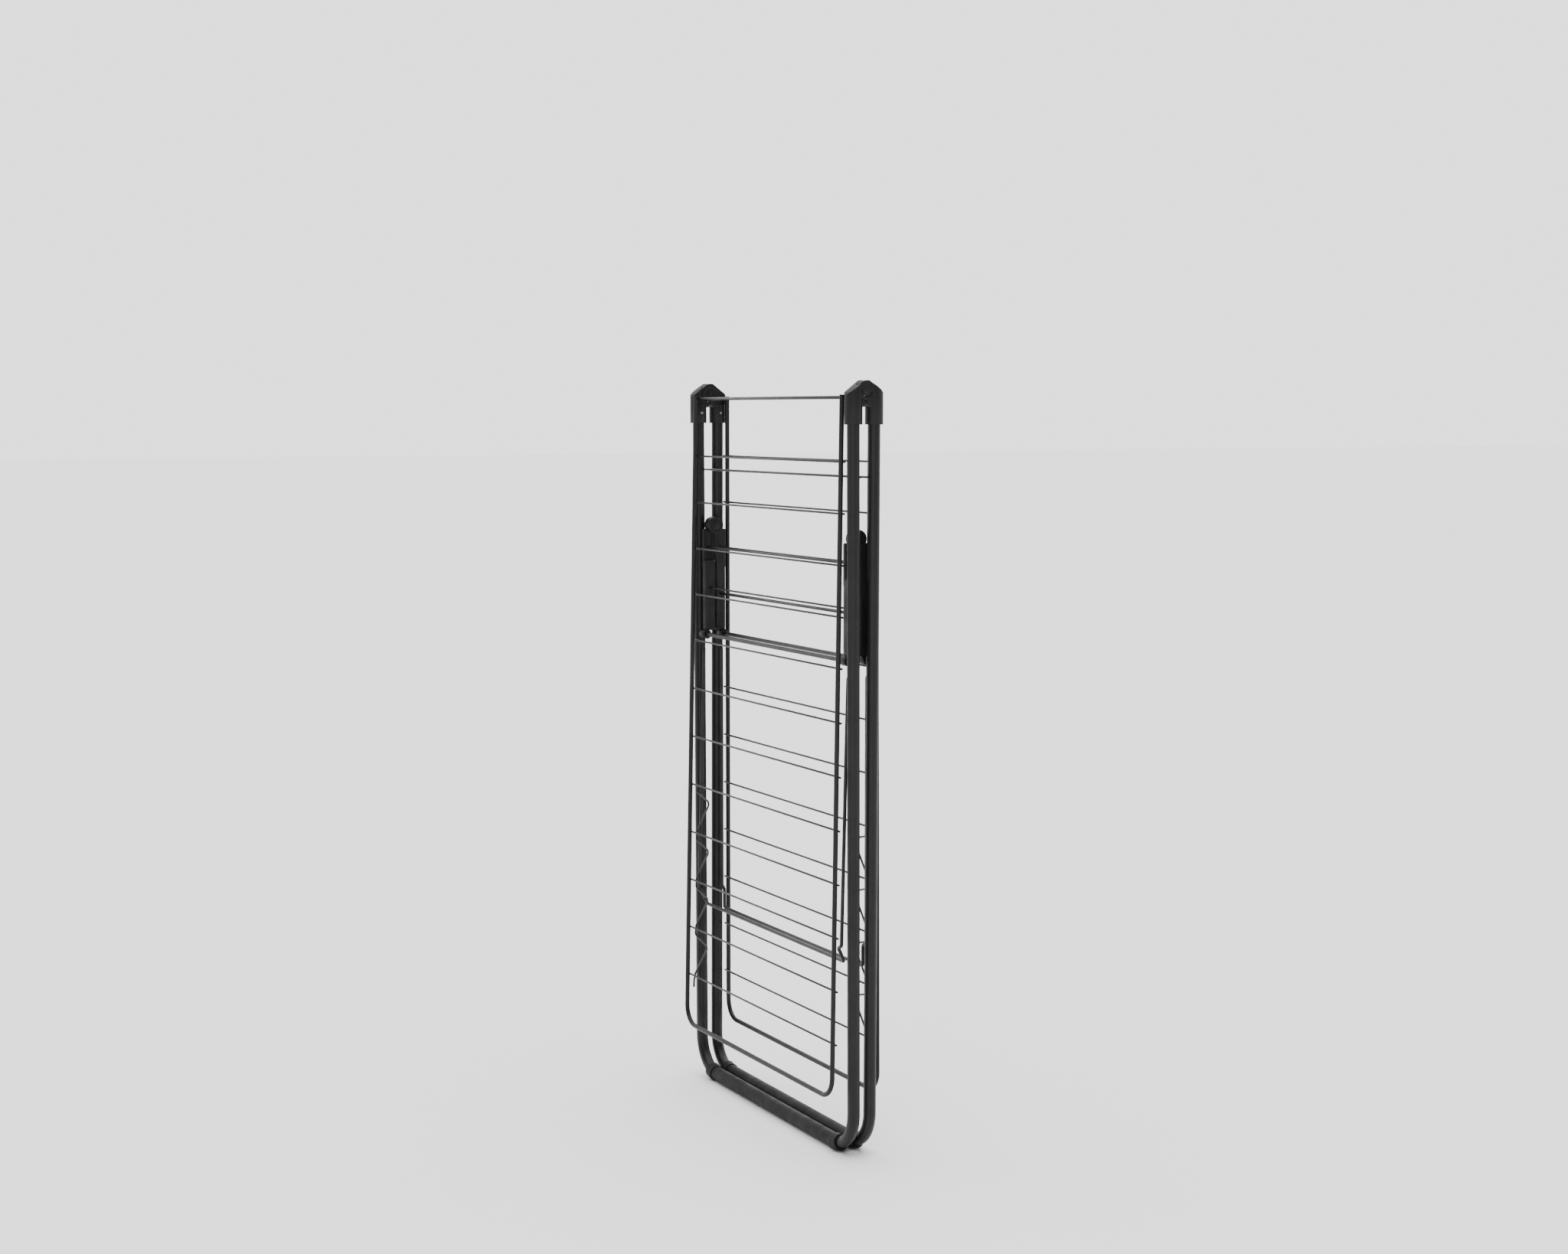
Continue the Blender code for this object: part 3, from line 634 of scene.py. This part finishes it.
def make_wing(side, word):
    body = word + "_wing"
    corners = []
    for end, z in ((-1, RAIL_TOP_Z), (-1, RAIL_BOTTOM_Z), (1, RAIL_BOTTOM_Z), (1, RAIL_TOP_Z)):
        corners.append((end * rail_x(z), rail_y(side, z), z))
    work = bmesh.new()
    add_tube(work, rounded_path(corners, RAIL_CORNER_R, 16), RAIL_R, 28, ends="open")
    place_piece(make_object(body + "_frame_smooth", work), body, "tube", body + "_frame")
    plug_x = LEG_X - CAP_HALF_X + HINGE_PLUG
    work = bmesh.new()
    y = hinge_y(side)
    add_tube(work, [(-plug_x, y, HINGE_Z), (0, y, HINGE_Z), (plug_x, y, HINGE_Z)],
             HINGE_BAR_R, 20)
    add_welds(work, side, rail_x(HINGE_Z), HINGE_Z, HINGE_BAR_R, y)
    place_piece(make_object(body + "_hinge_bar_smooth", work), body, "wire",
                body + "_hinge_bar")
    for index in range(1, BAR_COUNT + 1):
        z = bar_z(index)
        bar_x = rail_x(z) + BAR_OVERHANG
        y = bar_y(side, z)
        work = bmesh.new()
        add_tube(work, [(-bar_x, y, z), (0, y, z), (bar_x, y, z)], WIRE_R, 16)
        add_welds(work, side, rail_x(z), z, WIRE_R, y)
        place_piece(make_object("%s_bar_%02d_smooth" % (body, index), work), body, "wire",
                    "%s_bar_%02d" % (body, index))
    lift = WIRE_R * 2 + GAP
    corners = [(ZIGZAG_ROOT_X, bar_z(ZIGZAG_FIRST_BAR) + 0.0015)]
    for tooth in range(ZIGZAG_TEETH):
        z = bar_z(ZIGZAG_FIRST_BAR + tooth)
        corners.append((ZIGZAG_ROOT_X, z - 0.0130))
        corners.append((ZIGZAG_APEX_X, z - 0.0270))
        corners.append((ZIGZAG_ROOT_X - 0.0020, z - BAR_PITCH_LOW + 0.0040))
    corners.append((ZIGZAG_ROOT_X + 0.0040, z - BAR_PITCH_LOW - 0.0130))
    corners.append((ZIGZAG_ROOT_X + 0.0040, z - BAR_PITCH_LOW - 0.0240))
    places = [(side * px, bar_y(side, z) - side * lift, z) for px, z in corners]
    work = bmesh.new()
    add_tube(work, rounded_path(places, ZIGZAG_BEND_R, 8), WIRE_R, 16)
    place_piece(make_object(body + "_zigzag_smooth", work), body, "wire", body + "_zigzag")


def add_welds(work, side, x, z, radius, y):
    """Resistance-weld beads where a bar lies on each rail."""
    for end in (-1, 1):
        middle = (y + side * radius + rail_y(side, z) - side * RAIL_R) / 2
        size = Matrix.Diagonal((WELD_HALF_LENGTH, WELD_HALF_HEIGHT, radius * 0.8, 1.0))
        place = Matrix.Translation((end * x, middle, z)) @ size
        bmesh.ops.create_uvsphere(work, u_segments=14, v_segments=8, radius=1.0, matrix=place)


def make_stay(side, word):
    top_y = leg_y(side, STAY_PIVOT_Z)
    jog_y = side * STAY_JOG_Y[side]
    half = [
        (LEG_X - LEG_R - GAP, top_y, STAY_PIVOT_Z), (STAY_X, top_y, STAY_PIVOT_Z),
        (STAY_X, jog_y, STAY_JOG_Z), (STAY_LOW_X, jog_y, STAY_JOG_Z - 0.0060),
        (STAY_LOW_X, side * STAY_BAR_Y, STAY_BAR_Z[side])]
    corners = [(-x, y, z) for x, y, z in half] + half[::-1]
    work = bmesh.new()
    add_tube(work, rounded_path(corners, STAY_BEND_R, 8), STAY_R, 24, ends="flat")
    place_piece(make_object(word + "_stay_smooth", work), word + "_stay", "wire",
                word + "_stay_wire")


def make_rack():
    leg_end = LEG_X - LEG_R - GAP
    for word, side in (("front", -1), ("rear", 1)):
        make_leg(side, word)
        make_sleeve(side, word)
        y = leg_y(side, LEG_BAR_Z) - side * (LEG_R + WIRE_R + GAP)
        make_rod(word + "_leg_crossbar_smooth", word + "_leg", word + "_leg_crossbar",
                 ((-LEG_X - 0.003, y, LEG_BAR_Z), (LEG_X + 0.003, y, LEG_BAR_Z)), WIRE_R)
        y = leg_y(side, PIVOT_Z)
        make_rod(word + "_leg_axle_smooth", word + "_leg", word + "_leg_arm_axle",
                 ((-leg_end, y, PIVOT_Z), (leg_end, y, PIVOT_Z)), AXLE_R, style="flat")
        for end_word, end in (("left", -1), ("right", 1)):
            make_cap(side, end, word, end_word)
            make_screw(side, end, word, end_word)
            make_arm(side, end, word, end_word)
        for label, z in (("upper", ARM_ROD_TOP_Z), ("lower", ARM_ROD_LOW_Z[side])):
            ends = []
            for end in (-1, 1):
                reach = ARM_X0 + 0.0087
                if label == "upper":
                    reach = arm_half(side, end)[1] - 0.0018
                ends.append((end * reach, side * ARM_ROD_Y, z))
            node = "%s_arms_%s_rod" % (word, label)
            make_rod(node + "_smooth", word + "_arms", node, ends, WIRE_R)
        make_wing(side, word)
        make_stay(side, word)
    make_pins()


# Studio

def make_studio():
    material = bpy.data.materials.new("pale_studio_floor")
    material.use_nodes = True
    tree = material.node_tree
    shader = tree.nodes["Principled BSDF"]
    shader.inputs["Base Color"].default_value = (0.90, 0.90, 0.90, 1.0)
    shader.inputs["Roughness"].default_value = 0.85
    shader.inputs["Specular IOR Level"].default_value = 0.15
    work = bmesh.new()
    bmesh.ops.create_grid(work, x_segments=2, y_segments=2, size=FLOOR_HALF)
    floor = make_object("studio_floor", work, shift=False)
    floor.data.materials.append(material)

    # A white surround behind the rack, dimmer on the side that it is seen from.
    world = bpy.data.worlds.new("studio_world")
    bpy.context.scene.world = world
    world.use_nodes = True
    tree = world.node_tree
    background = tree.nodes["Background"]
    background.inputs["Color"].default_value = (1.0, 1.0, 1.0, 1.0)
    place = tree.nodes.new("ShaderNodeTexCoord")
    facing = tree.nodes.new("ShaderNodeVectorMath")
    facing.operation = "DOT_PRODUCT"
    facing.inputs[1].default_value = BRIGHT_SIDE
    link(tree, place, "Generated", facing, 0)
    level = tree.nodes.new("ShaderNodeMapRange")
    level.interpolation_type = "SMOOTHSTEP"
    level.inputs["From Min"].default_value = -0.20
    level.inputs["From Max"].default_value = 0.75
    level.inputs["To Min"].default_value = 0.30
    level.inputs["To Max"].default_value = 2.2
    link(tree, facing, "Value", level, "Value")
    link(tree, level, 0, background, "Strength")

    data = bpy.data.lights.new("overhead_soft", "SUN")
    data.energy = 4.2
    data.angle = math.radians(70)
    item = bpy.data.objects.new("overhead_soft", data)
    item.location = (0.0, 0.0, 4.0)
    bpy.context.scene.collection.objects.link(item)

    data = bpy.data.lights.new("front_soft", "AREA")
    data.shape = "RECTANGLE"
    data.size = 0.5
    data.size_y = 2.4
    data.energy = 22
    item = bpy.data.objects.new("front_soft", data)
    item.location = (3.4, -2.6, 1.6)
    direction = Vector((0, 0, 0.7)) - Vector((3.4, -2.6, 1.6))
    item.rotation_euler = direction.to_track_quat("-Z", "Y").to_euler()
    bpy.context.scene.collection.objects.link(item)

    data = bpy.data.cameras.new("view_camera")
    data.sensor_width = SENSOR_WIDTH
    data.lens = LENS
    data.clip_end = 100.0
    camera = bpy.data.objects.new("view_camera", data)
    heading = math.radians(CAMERA_HEADING)
    drop = math.radians(CAMERA_DROP)
    look = Vector((-math.cos(heading) * math.cos(drop), math.sin(heading) * math.cos(drop),
                   -math.sin(drop)))
    camera.location = CAMERA_PLACE
    camera.rotation_euler = look.to_track_quat("-Z", "Y").to_euler()
    bpy.context.scene.collection.objects.link(camera)
    bpy.context.scene.camera = camera


make_rack()
make_studio()
